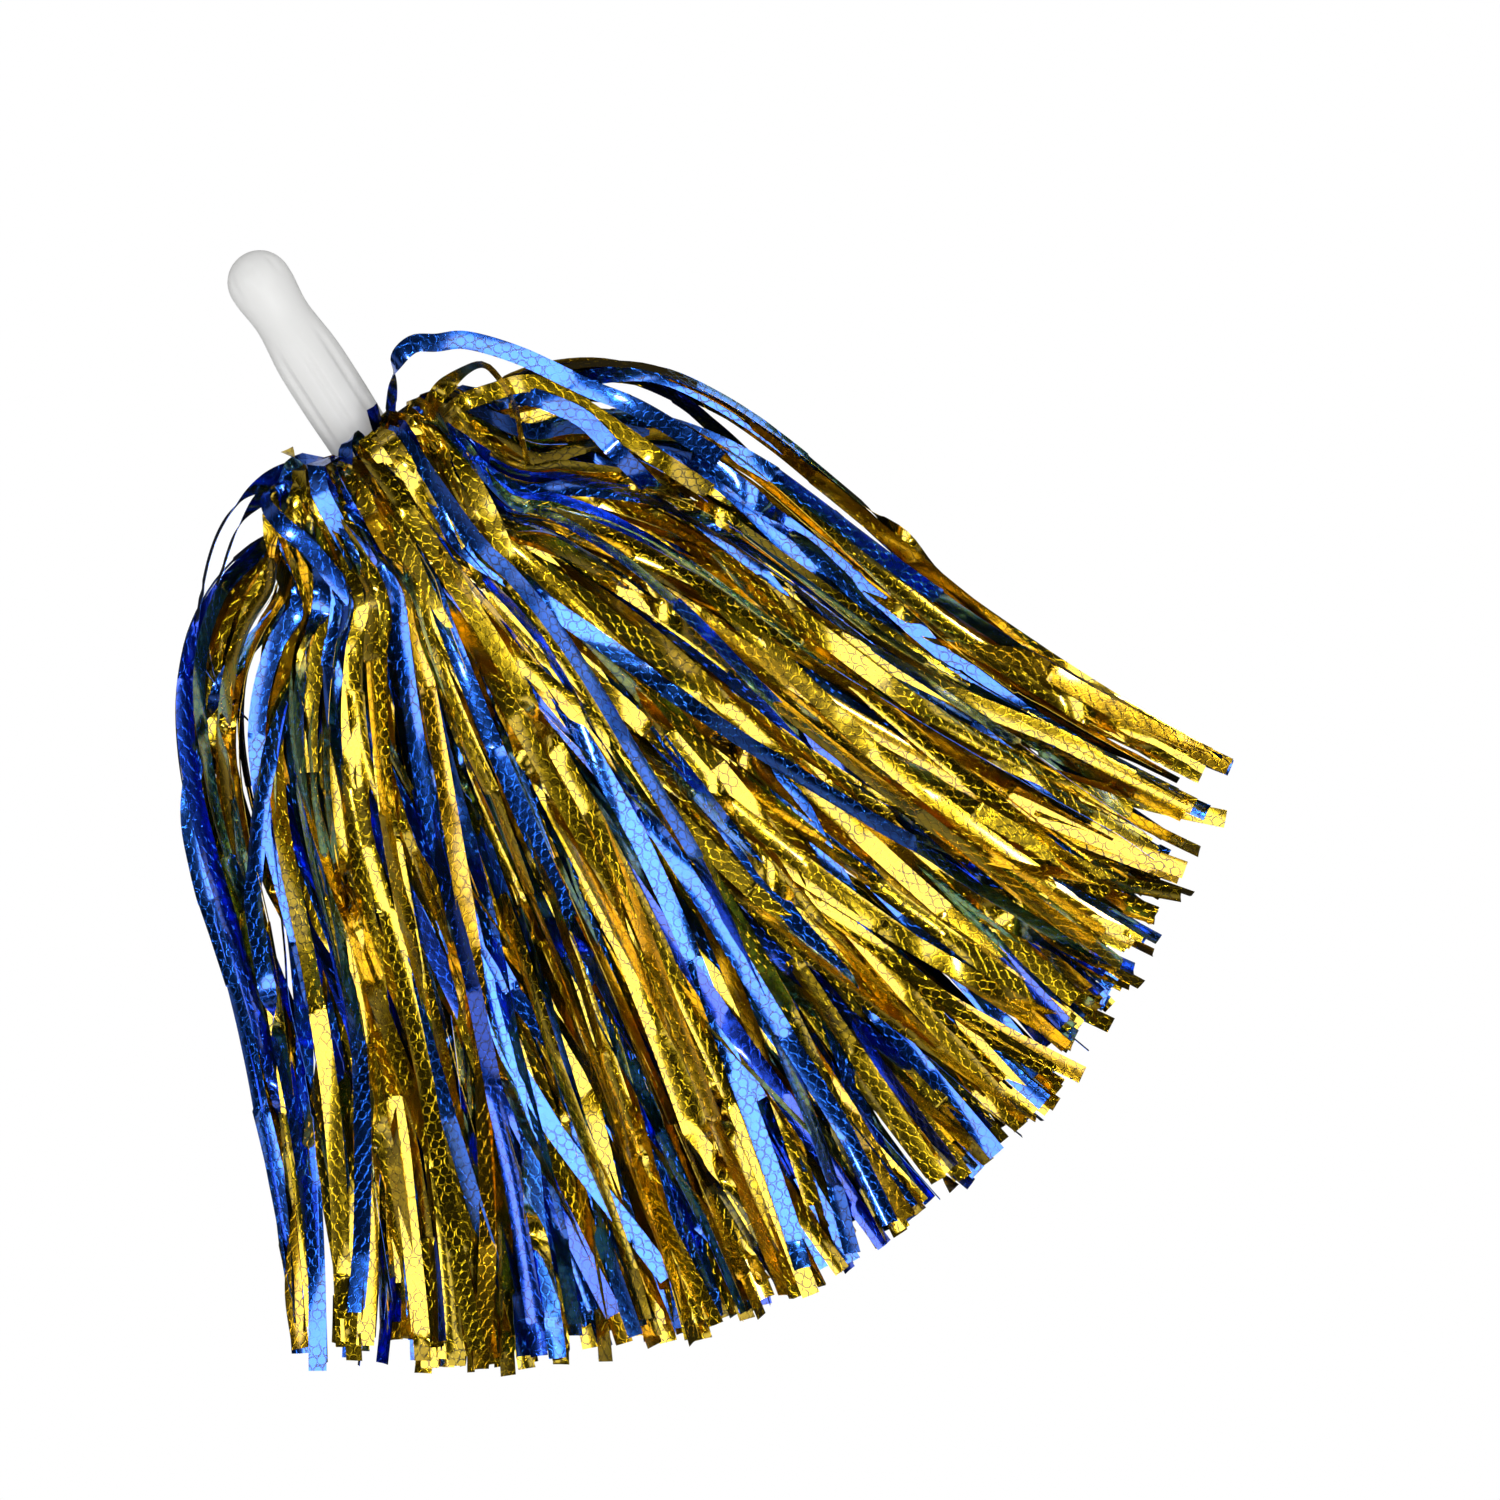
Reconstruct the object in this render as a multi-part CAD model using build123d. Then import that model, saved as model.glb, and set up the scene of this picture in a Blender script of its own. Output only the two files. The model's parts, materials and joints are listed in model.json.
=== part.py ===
from build123d import *
import math
import os

# Cheer pom pom: a hollow moulded baton handle whose mouth holds the rolled, uncut
# middles of a stack of slit foil sheets.  The slit halves spill out of the mouth
# and lie spread in a fan.  Millimetres, +Z up, resting on z = 0, handle towards +Y.

# Handle, measured from the mouth (0) to the butt (grip_length)
grip_length = 89.0
wall = 1.8
collar_radius = 11.0
collar_length = 12.0
palm_radius = 11.45
palm_at = 34.0
shoulder_radius = 11.2
shoulder_at = 50.0
neck_radius = 9.65
neck_at = 64.6
bulb_radius = 10.9

# Shallow lengthwise finger flutes round the palm
flute_count = 8
flute_tool_radius = 10.0
flute_depth = 0.6
flute_half_length = 22.0
flute_at = 38.0

# Retaining pin across the mouth, with its ends sunk below the surface
pin_at = 7.3
pin_hole_radius = 1.75
pin_radius = 1.65
pin_sunk = 0.6

# Rolled header inside the mouth, and the wire bound round it
header_length = 22.0
header_radius = collar_radius - wall - 0.2
core_radius = 5.4
roll_gap = 0.1
groove_at = 14.0
groove_width = 2.4
groove_depth = 1.1
wire_radius = 0.45
wire_turns = 2

# Fan of foil: every tuft turns about one point, the centre of the mouth
axis_height = 11.6
reach = {"bottom": 306.0, "middle": 303.0, "top": 299.0}
tuft_start = 28.0
crown_radius = 27.0
crown_gap = 0.15

# Half angle of the fan in degrees: wide beside the mouth, then bending round to the tips
tip_angle = {"bottom": 36.0, "middle": 35.0, "top": 32.5}
flare_angle = {"bottom": 53.0, "middle": 33.0, "top": 20.0}
flare_reach = 120.0
flare_power = 3.5
station_count = 7

# Height of the layer boundaries next to the mouth and at the tips
layers = ("bottom", "middle", "top")
heights_near = (0.0, 16.5, 31.0, 46.0)
heights_far = (0.0, 8.0, 15.0, 22.0)
layer_gap = 0.6
colour_gap = 0.4

# Five columns across the fan, from its left edge to its right edge
columns = ("far_left", "left", "centre", "right", "far_right")
column_gap = 1.2
prism_margin = 2.0

mouth_y = (reach["bottom"] - grip_length) / 2
mouth = Location((0, mouth_y, axis_height))
os.makedirs("parts", exist_ok=True)


def save(name, shape):
    """Write one named piece."""
    export_step(shape, f"parts/{name}.step")


def grip_solid(shrink, start):
    """The handle's outline, shrunk by a wall, turned about the handle's axis."""
    side = collar_radius - shrink
    waist = (
        (side, collar_length),
        (palm_radius - shrink, palm_at),
        (shoulder_radius - shrink, shoulder_at),
        (neck_radius - shrink, neck_at),
        (bulb_radius - shrink, grip_length - bulb_radius),
    )
    end = bulb_radius - shrink
    slant = end * math.sqrt(0.5)
    butt = grip_length - bulb_radius
    outline = [
        Line((0, start), (side, start)),
        Line((side, start), (side, collar_length)),
        Spline(*waist, tangents=[(0, 1), (0, 1)]),
        ThreePointArc((end, butt), (slant, butt + slant), (0, butt + end)),
        Line((0, butt + end), (0, start)),
    ]
    return revolve(make_face(outline), Axis.Y)


def flute_cutter():
    """One long spindle that grazes the palm and leaves a shallow flute."""
    bow = flute_half_length**2 / (2 * flute_depth)
    half = math.sqrt(2 * flute_tool_radius * bow - flute_tool_radius**2)
    outline = [
        ThreePointArc((0, -half), (flute_tool_radius, 0), (0, half)),
        Line((0, half), (0, -half)),
    ]
    spindle = revolve(make_face(outline), Axis.Y)
    away = palm_radius + flute_tool_radius - flute_depth
    return Pos(away, flute_at, 0) * spindle


def across(radius, half_length, along):
    """An upright round bar through the handle's axis."""
    return Pos(0, along, 0) * Cylinder(radius, 2 * half_length)


def handle_grip():
    """Hollow moulded handle: open mouth, round butt, flutes and the pin's hole."""
    shell = grip_solid(0, 0) - grip_solid(wall, -1)
    for number in range(flute_count):
        turn = (number + 0.5) * 360 / flute_count
        shell -= Rot(0, turn, 0) * flute_cutter()
    return shell - across(pin_hole_radius, palm_radius + 2, pin_at)


def rod(radius, start, length):
    """A round bar along the handle's axis."""
    return Pos(0, start + length / 2, 0) * Rot(90, 0, 0) * Cylinder(radius, length)


def gold_header():
    """Outer turns of the roll, grooved for the wire and pierced by the pin."""
    roll = rod(header_radius, 0, header_length) - rod(core_radius + roll_gap, -1, header_length + 2)
    start = groove_at - groove_width / 2
    waist = rod(header_radius + 1, start, groove_width)
    waist -= rod(header_radius - groove_depth, start - 1, groove_width + 2)
    return roll - waist - across(pin_radius, palm_radius, pin_at)


def blue_header():
    """Inner turns of the roll, pierced by the pin."""
    return rod(core_radius, 0, header_length) - across(pin_radius, palm_radius, pin_at)


def tie_wire():
    """Closed turns of thin wire side by side in the header's groove."""
    ring = header_radius - groove_depth + wire_radius + 0.05
    pitch = 2 * wire_radius + 0.1
    first = groove_at - pitch * (wire_turns - 1) / 2
    turns = []
    for number in range(wire_turns):
        turns.append(Pos(0, first + number * pitch, 0) * Rot(90, 0, 0) * Torus(ring, wire_radius))
    return Compound(children=turns)


def retaining_pin():
    """Plain pin through both walls of the mouth and the roll between them."""
    return across(pin_radius, collar_radius - pin_sunk, pin_at)


def crown(low, high):
    """Roots of the foil where they leave the mouth, between two heights."""
    size = 2 * crown_radius
    front = Pos(0, -crown_radius / 2, (low + high) / 2) * Box(size, crown_radius, high - low)
    return Sphere(crown_radius) & front


def polar(radius, degrees):
    """A point of the fan, from its distance and its angle off the handle's axis."""
    angle = math.radians(degrees)
    return (radius * math.sin(angle), -radius * math.cos(angle))


def half_angle(layer, radius):
    """The fan's half angle at one distance from the mouth."""
    return tip_angle[layer] + flare_angle[layer] / (1 + (radius / flare_reach) ** flare_power)


def boundary(layer, share, shift):
    """Line between two columns: a share of the fan's half angle, moved sideways."""
    start = tuft_start - prism_margin
    step = (reach["bottom"] + 3 * prism_margin - start) / (station_count - 1)
    points = []
    for number in range(station_count):
        radius = start + number * step
        points.append(polar(radius, share * half_angle(layer, radius) + math.degrees(shift / radius)))
    return Spline(*points)


def column_prism(layer, number):
    """Upright prism over one column of the fan."""
    width = 2 / len(columns)
    left = boundary(layer, -1 + number * width, column_gap)
    right = boundary(layer, -1 + (number + 1) * width, -column_gap)
    outline = [
        left,
        Line(left @ 1, right @ 1),
        right,
        Line(right @ 0, left @ 0),
    ]
    return Pos(0, 0, -axis_height) * extrude(make_face(outline), heights_near[-1] + 1)


def layer_ring(layer, low_share, high_share, low_gap, high_gap):
    """Sloping ring between two shares of a layer's thickness."""
    level = layers.index(layer)

    def height(heights, share):
        return heights[level] + share * (heights[level + 1] - heights[level]) - axis_height

    far = reach[layer]
    outline = Polyline(
        (tuft_start, height(heights_near, low_share) + low_gap),
        (far, height(heights_far, low_share) + low_gap),
        (far, height(heights_far, high_share) - high_gap),
        (tuft_start, height(heights_near, high_share) - high_gap),
        close=True,
    )
    return revolve(Plane.XZ * make_face(outline), Axis.Z)


def fan():
    """Every tuft: one gold and one blue sheet's slit half in each column and layer."""
    for layer in layers:
        floor_gap = 0 if layer == "bottom" else layer_gap / 2
        roof_gap = 0 if layer == "top" else layer_gap / 2
        blue = layer_ring(layer, 0, 0.5, floor_gap, colour_gap / 2)
        gold = layer_ring(layer, 0.5, 1, colour_gap / 2, roof_gap)
        for number, column in enumerate(columns):
            prism = column_prism(layer, number)
            save(f"blue_{layer}_{column}", mouth * (blue & prism))
            save(f"gold_{layer}_{column}", mouth * (gold & prism))


save("handle_grip", mouth * handle_grip())
save("retaining_pin", mouth * retaining_pin())
save("tie_wire", mouth * tie_wire())
save("gold_header", mouth * gold_header())
save("blue_header", mouth * blue_header())
save("blue_crown", mouth * crown(-axis_height, -crown_gap))
save("gold_crown", mouth * crown(crown_gap, crown_radius))
fan()
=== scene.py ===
"""Looks of a baton-handle cheer pom pom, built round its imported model.

A hollow moulded handle holds a roll of gold and blue embossed foil.  The foil is slit into
long strips, which spill out of the handle's mouth and lie spread in a fan.  Lengths are in
metres, +Z is up, the handle points along +Y and the fan along -Y.
"""

from __future__ import annotations

import json
import logging
import math
from dataclasses import dataclass, field
from enum import Enum
from typing import Union

import bpy
import numpy as np
from mathutils import Matrix, Vector

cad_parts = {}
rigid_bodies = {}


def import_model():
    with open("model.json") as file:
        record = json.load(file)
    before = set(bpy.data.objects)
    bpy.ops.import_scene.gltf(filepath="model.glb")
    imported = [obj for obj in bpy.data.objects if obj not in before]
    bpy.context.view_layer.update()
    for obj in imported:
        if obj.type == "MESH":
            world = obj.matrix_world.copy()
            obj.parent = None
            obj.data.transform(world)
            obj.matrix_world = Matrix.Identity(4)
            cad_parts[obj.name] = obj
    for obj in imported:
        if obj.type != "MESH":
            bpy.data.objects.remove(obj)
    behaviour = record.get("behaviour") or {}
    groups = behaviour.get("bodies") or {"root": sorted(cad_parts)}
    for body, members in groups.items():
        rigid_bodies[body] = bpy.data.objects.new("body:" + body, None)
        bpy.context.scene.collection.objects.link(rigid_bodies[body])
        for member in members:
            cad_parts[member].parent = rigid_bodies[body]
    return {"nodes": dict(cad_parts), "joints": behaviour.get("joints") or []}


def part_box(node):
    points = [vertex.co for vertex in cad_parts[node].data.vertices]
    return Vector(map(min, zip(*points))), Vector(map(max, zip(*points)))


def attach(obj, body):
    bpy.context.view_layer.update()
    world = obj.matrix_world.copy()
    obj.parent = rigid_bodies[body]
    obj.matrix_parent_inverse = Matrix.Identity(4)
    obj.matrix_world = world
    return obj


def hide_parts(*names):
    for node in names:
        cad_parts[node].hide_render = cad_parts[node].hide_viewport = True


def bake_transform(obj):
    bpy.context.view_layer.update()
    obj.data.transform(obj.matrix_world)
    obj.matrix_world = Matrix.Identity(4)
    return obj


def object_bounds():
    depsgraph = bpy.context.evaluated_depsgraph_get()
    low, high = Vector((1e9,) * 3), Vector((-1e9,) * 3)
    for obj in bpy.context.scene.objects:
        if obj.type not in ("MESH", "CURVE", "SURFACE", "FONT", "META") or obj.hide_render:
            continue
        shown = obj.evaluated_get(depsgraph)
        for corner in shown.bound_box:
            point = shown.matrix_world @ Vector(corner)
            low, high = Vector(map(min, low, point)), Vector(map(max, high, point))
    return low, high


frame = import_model()
CAD_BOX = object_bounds()

LOG = logging.getLogger("pom_pom")
MM = 0.001
Number = Union[int, float]
Values = Union[np.ndarray, float]


# ---------------------------------------------------------------- shader expressions


class Signal:
    """A node's output that takes part in arithmetic."""

    def __init__(self, graph: "Graph", socket: bpy.types.NodeSocket) -> None:
        """Keep the graph that owns the socket.

        Args:
            graph: The node tree that gets the Math nodes.
            socket: The output to work with.
        """
        self.graph = graph
        self.socket = socket

    def math(self, operation: str, *others: "Term", first: "Term | None" = None) -> "Signal":
        """One Math node.

        Args:
            operation: The Math node's operation.
            others: The operands after this one.
            first: An operand that stands before this one.

        Returns:
            The node's result.
        """
        terms = [self, *others] if first is None else [first, self, *others]
        inputs = dict(enumerate(terms))
        return self.graph.signal("ShaderNodeMath", {"operation": operation}, inputs)

    def __add__(self, other: "Term") -> "Signal":
        """Sum."""
        return self.math("ADD", other)

    __radd__ = __add__

    def __mul__(self, other: "Term") -> "Signal":
        """Product."""
        return self.math("MULTIPLY", other)

    __rmul__ = __mul__

    def __sub__(self, other: "Term") -> "Signal":
        """Difference."""
        return self.math("SUBTRACT", other)

    def __rsub__(self, other: "Term") -> "Signal":
        """Difference, with this one taken away."""
        return self.math("SUBTRACT", first=other)

    def __truediv__(self, other: "Term") -> "Signal":
        """Quotient."""
        return self.math("DIVIDE", other)

    def __abs__(self) -> "Signal":
        """Size without sign."""
        return self.math("ABSOLUTE")

    def __pow__(self, other: "Term") -> "Signal":
        """Power."""
        return self.math("POWER", other)

    def floor(self) -> "Signal":
        """Whole part."""
        return self.math("FLOOR")

    def fraction(self) -> "Signal":
        """Part after the point."""
        return self.math("FRACT")

    def step(self, low: Number, high: Number) -> "Signal":
        """A soft step.

        Args:
            low: Where the step is still 0.
            high: Where it reaches 1.

        Returns:
            A signal from 0 to 1.
        """
        settings = {"interpolation_type": "SMOOTHSTEP"}
        return self.graph.signal("ShaderNodeMapRange", settings, {0: self, 1: low, 2: high})


Term = Union[Signal, int, float, tuple]


class Graph:
    """A node tree that is written as expressions."""

    def __init__(self, tree: bpy.types.NodeTree) -> None:
        """Start with an empty tree.

        Args:
            tree: The material's or the world's tree.
        """
        self.tree = tree
        tree.nodes.clear()

    def node(self, kind: str, settings: dict | None = None, inputs: dict | None = None) -> bpy.types.Node:
        """Add any node.

        Args:
            kind: The node's type.
            settings: Its own properties, set first.
            inputs: Values or signals for its sockets, by name or number.

        Returns:
            The node.
        """
        made = self.tree.nodes.new(kind)
        for key, value in (settings or {}).items():
            setattr(made, key, value)
        for key, value in (inputs or {}).items():
            if isinstance(value, Signal):
                self.tree.links.new(value.socket, made.inputs[key])
            else:
                made.inputs[key].default_value = value
        return made

    def signal(
        self, kind: str, settings: dict | None = None, inputs: dict | None = None, output: int | str = 0
    ) -> Signal:
        """Add any node and take one of its outputs.

        Args:
            kind: The node's type.
            settings: Its own properties.
            inputs: Values or signals for its sockets.
            output: The output's name or number.

        Returns:
            That output.
        """
        return Signal(self, self.node(kind, settings, inputs).outputs[output])

    def blend(self, share: Term, low: Term, high: Term) -> Signal:
        """Mix two colours.

        Args:
            share: 0 gives low, and 1 gives high.
            low: A colour or its signal.
            high: A colour or its signal.

        Returns:
            The mixed colour.
        """
        return self.signal("ShaderNodeMix", {"data_type": "RGBA"}, {0: share, 6: low, 7: high}, 2)

    def noise(self, vector: Signal, scale: float, detail: float = 2.0) -> Signal:
        """Smooth noise from 0 to 1.

        Args:
            vector: Where it is read.
            scale: Cells to a metre.
            detail: How many finer octaves it has.

        Returns:
            The noise.
        """
        return self.signal("ShaderNodeTexNoise", None, {"Vector": vector, "Scale": scale, "Detail": detail})

    def bump(self, height: Signal) -> Signal:
        """Relief on a surface.

        Args:
            height: The relief's height, in millimetres.

        Returns:
            The normals.
        """
        return self.signal("ShaderNodeBump", None, {"Strength": 1.0, "Distance": MM, "Height": height})


def rgb(red: float, green: float, blue: float) -> tuple[float, float, float, float]:
    """A solid colour.

    Args:
        red: Linear red.
        green: Linear green.
        blue: Linear blue.

    Returns:
        The colour with full alpha.
    """
    return (red, green, blue, 1.0)


# ---------------------------------------------------------------- finishes


@dataclass(frozen=True)
class EmbossedFoil:
    """Metallised film, pressed with small rings and crinkled by handling."""

    name: str
    bright: tuple
    deep: tuple
    # Darker colour for about a fifth of the strips: partly a tint that differs from strip to strip, partly
    # painted shade for the heap's shaded inside.
    odd: tuple
    roughness: float = 0.12
    lacquer_ior: float = 1.52
    ring_pitch: float = 3.5 * MM
    ring_radius: float = 1.6 * MM
    ring_line: float = 0.27 * MM
    ring_height: float = 0.10
    crinkle_height: float = 0.26
    grain_height: float = 0.02

    def rings(self, graph: Graph, across: Signal, along: Signal) -> Signal:
        """Raised ring lines in staggered, uneven rows.

        Args:
            graph: The material's nodes.
            across: Place across the strip, in metres.
            along: Place along the strip, in metres.

        Returns:
            1 on a ring's line and 0 off it.
        """
        row_pitch = self.ring_pitch * math.sqrt(0.75)
        rows = along / row_pitch
        columns = across / self.ring_pitch + (rows.floor() / 2).fraction()
        cell = graph.signal("ShaderNodeCombineXYZ", None, {0: columns.floor(), 1: rows.floor()})
        dice = graph.signal(
            "ShaderNodeTexWhiteNoise", {"noise_dimensions": "2D"}, {"Vector": cell}, "Color"
        )
        split = graph.node("ShaderNodeSeparateColor", None, {0: dice})
        shift_x, shift_y = (Signal(graph, split.outputs[k]) * 0.26 - 0.13 for k in (0, 1))
        off_x = (columns.fraction() - 0.5 + shift_x) * self.ring_pitch
        off_y = (rows.fraction() - 0.5 + shift_y) * row_pitch
        away = abs((off_x**2 + off_y**2) ** 0.5 - self.ring_radius)
        return 1 - away.step(0.0, self.ring_line)

    def material(self) -> bpy.types.Material:
        """Build the node tree.

        Returns:
            The foil's material.
        """
        made = bpy.data.materials.new(self.name)
        made.use_nodes = True
        graph = Graph(made.node_tree)
        strip = graph.signal("ShaderNodeUVMap", {"uv_map": FoilSheet.UV})
        split = graph.node("ShaderNodeSeparateXYZ", None, {0: strip})
        across, along = Signal(graph, split.outputs[0]), Signal(graph, split.outputs[1])
        own = (across / FoilSheet.UV_STEP + 0.5).floor()
        chance = graph.signal("ShaderNodeTexWhiteNoise", {"noise_dimensions": "1D"}, {"W": own})
        crinkle = graph.noise(strip, 95.0, 2.0)
        grain = graph.noise(strip, 700.0, 2.0)
        worn = graph.noise(strip, 70.0, 1.0).step(0.38, 0.6)
        pressed = self.rings(graph, across, along) * (0.25 + 0.75 * worn)
        height = pressed * self.ring_height
        height += crinkle * self.crinkle_height + grain * self.grain_height
        bump = graph.bump(height)
        plain = graph.blend(chance * 0.6 + crinkle * 0.4, self.bright, self.deep)
        # About a fifth of the strips get the darker colour: partly strip-to-strip tint, partly painted
        # shade for the heap's inside.
        tint = graph.blend(chance.step(0.78, 0.95), plain, self.odd)
        rough = self.roughness + grain * 0.06 + chance * 0.05
        shader = graph.signal(
            "ShaderNodeBsdfPrincipled",
            None,
            {
                "Base Color": tint,
                "Metallic": 1.0,
                "Roughness": rough,
                "Normal": bump,
                "Coat Weight": 1.0,
                "Coat Roughness": 0.1,
                "Coat IOR": self.lacquer_ior,
            },
        )
        graph.node("ShaderNodeOutputMaterial", None, {0: shader})
        return made


@dataclass(frozen=True)
class SatinPlastic:
    """White moulded plastic with a soft satin skin."""

    name: str
    colour: tuple
    roughness: float = 0.36

    def material(self) -> bpy.types.Material:
        """Build the node tree.

        Returns:
            The plastic's material.
        """
        made = bpy.data.materials.new(self.name)
        made.use_nodes = True
        graph = Graph(made.node_tree)
        place = graph.signal("ShaderNodeTexCoord", None, None, "Object")
        cloud = graph.noise(place, 60.0, 3.0)
        skin = graph.noise(place, 1600.0, 2.0)
        flow = graph.signal(
            "ShaderNodeMapping", {"vector_type": "POINT"}, {"Vector": place, "Scale": (1.0, 0.12, 1.0)}
        )
        streak = graph.noise(flow, 420.0, 2.0)
        shade = tuple(0.93 * part for part in self.colour[:3]) + (1.0,)
        tint = graph.blend(cloud.step(0.3, 0.8) * 0.6 + streak * 0.2, self.colour, shade)
        height = skin * 0.012 + streak * 0.02
        bump = graph.bump(height)
        rough = self.roughness + cloud * 0.08 + skin * 0.05
        shader = graph.signal(
            "ShaderNodeBsdfPrincipled",
            None,
            {"Base Color": tint, "Roughness": rough, "Normal": bump, "IOR": 1.49},
        )
        graph.node("ShaderNodeOutputMaterial", None, {0: shader})
        return made


@dataclass(frozen=True)
class DrawnSteel:
    """Plain steel wire or pin, a little dull."""

    name: str
    colour: tuple
    roughness: float = 0.35

    def material(self) -> bpy.types.Material:
        """Build the node tree.

        Returns:
            The steel's material.
        """
        made = bpy.data.materials.new(self.name)
        made.use_nodes = True
        graph = Graph(made.node_tree)
        place = graph.signal("ShaderNodeTexCoord", None, None, "Object")
        stain = graph.noise(place, 900.0, 3.0)
        tint = graph.blend(stain, self.colour, tuple(0.6 * part for part in self.colour[:3]) + (1.0,))
        bump = graph.bump(stain * 0.03)
        shader = graph.signal(
            "ShaderNodeBsdfPrincipled",
            None,
            {
                "Base Color": tint,
                "Metallic": 1.0,
                "Roughness": self.roughness + stain * 0.15,
                "Normal": bump,
            },
        )
        graph.node("ShaderNodeOutputMaterial", None, {0: shader})
        return made


@dataclass(frozen=True)
class RolledFoil:
    """The edges of many turns of foil, seen as fine rings round the handle's axis."""

    name: str
    bright: tuple
    deep: tuple
    turns_to_metre: float = 2200.0

    def material(self) -> bpy.types.Material:
        """Build the node tree.

        Returns:
            The roll's material.
        """
        made = bpy.data.materials.new(self.name)
        made.use_nodes = True
        graph = Graph(made.node_tree)
        place = graph.signal("ShaderNodeTexCoord", None, None, "Object")
        split = graph.node("ShaderNodeSeparateXYZ", None, {0: place})
        x, z = Signal(graph, split.outputs[0]), Signal(graph, split.outputs[2])
        radius = (x**2 + (z - POINT.z) ** 2) ** 0.5
        wander = graph.noise(place, 300.0, 2.0)
        turn = (radius * self.turns_to_metre + wander * 1.5).fraction()
        edge = abs(turn - 0.5).step(0.1, 0.45)
        bump = graph.bump(edge * 0.12)
        shader = graph.signal(
            "ShaderNodeBsdfPrincipled",
            None,
            {
                "Base Color": graph.blend(edge, self.bright, self.deep),
                "Metallic": 1.0,
                "Roughness": 0.3 + wander * 0.2,
                "Normal": bump,
            },
        )
        graph.node("ShaderNodeOutputMaterial", None, {0: shader})
        return made


# ---------------------------------------------------------------- names and shared places


class Foil(Enum):
    """Colour of a slit sheet."""

    GOLD = "gold"
    BLUE = "blue"


class Column(Enum):
    """Place of a tuft across the fan, with its number from the left."""

    FAR_LEFT = ("far_left", 0)
    LEFT = ("left", 1)
    CENTRE = ("centre", 2)
    RIGHT = ("right", 3)
    FAR_RIGHT = ("far_right", 4)

    @property
    def word(self) -> str:
        """The column's word in node names."""
        return self.value[0]

    @property
    def middle(self) -> float:
        """The column's middle, from -1 at the fan's left edge to 1 at its right."""
        return (self.value[1] - 2) * 2 / len(Column)


@dataclass(frozen=True)
class LayerShape:
    """How one layer of the fan lies.

    Attributes:
        tip_angle: Half of the fan's angle at its tips, in degrees.
        flare_angle: What is added to it close to the mouth.
        level: The layer's lowest and highest place in the heap, from 0 to 1.
        strips: How many gold and how many blue strips a tuft has.
        spill_from: Place across the fan from where strips spill back over the rim.
        spill_turn: How far round the handle the outermost of them come out, in degrees.
        spill_back: How far behind the rim they reach, in millimetres.
        spill_wide: How much further out the outermost of them stand.
        tumble: How much the strips turn about their length, in radians.
    """

    tip_angle: float
    flare_angle: float
    level: tuple
    strips: tuple
    spill_from: float
    spill_turn: float
    spill_back: tuple
    spill_wide: float
    tumble: float


class Layer(Enum):
    """The three layers of the heap, with their shapes."""

    BOTTOM = ("bottom", LayerShape(36.0, 60.0, (0.0, 0.34), (17, 16), 0.6, 98, (-2, 17), 0.7, 0.9))
    MIDDLE = ("middle", LayerShape(35.5, 45.0, (0.30, 0.70), (20, 13), 0.35, 82, (0, 15), 0.7, 0.75))
    TOP = ("top", LayerShape(34.0, 27.0, (0.64, 1.0), (24, 10), 0.0, 60, (-2, 10), 0.4, 0.5))

    @property
    def word(self) -> str:
        """The layer's word in node names."""
        return self.value[0]

    @property
    def shape(self) -> LayerShape:
        """The layer's numbers."""
        return self.value[1]


JOINTS = {joint["name"]: joint for joint in frame["joints"]}
POINT = Vector(JOINTS["bottom_centre_swing"]["pos_m"])
GRIP_LOW, GRIP_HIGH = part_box("handle_grip")
GRIP_LENGTH = GRIP_HIGH.y - GRIP_LOW.y
REACH = POINT.y - CAD_BOX[0].y


def smooth(value: Values) -> Values:
    """A soft step from 0 to 1.

    Args:
        value: Where it is read.

    Returns:
        The step's height there.
    """
    held = np.clip(value, 0.0, 1.0)
    return held * held * (3 - 2 * held)


def distances(path: np.ndarray) -> np.ndarray:
    """How far along a path each of its points is.

    Args:
        path: The points.

    Returns:
        The distances, from 0.
    """
    return np.concatenate([[0.0], np.cumsum(np.linalg.norm(np.diff(path, axis=0), axis=1))])


def headings(path: np.ndarray, run: np.ndarray) -> np.ndarray:
    """The direction of a path at each of its points.

    Args:
        path: The points.
        run: Their distances along the path.

    Returns:
        Unit vectors.
    """
    return unit(np.gradient(path, run, axis=0))


def unit(vectors: np.ndarray) -> np.ndarray:
    """Vectors brought to length 1.

    Args:
        vectors: One vector to a row.

    Returns:
        The unit vectors, where a vector of no length stays as it is.
    """
    return vectors / np.maximum(np.linalg.norm(vectors, axis=1, keepdims=True), 1e-6)


# ---------------------------------------------------------------- foil strips


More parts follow.
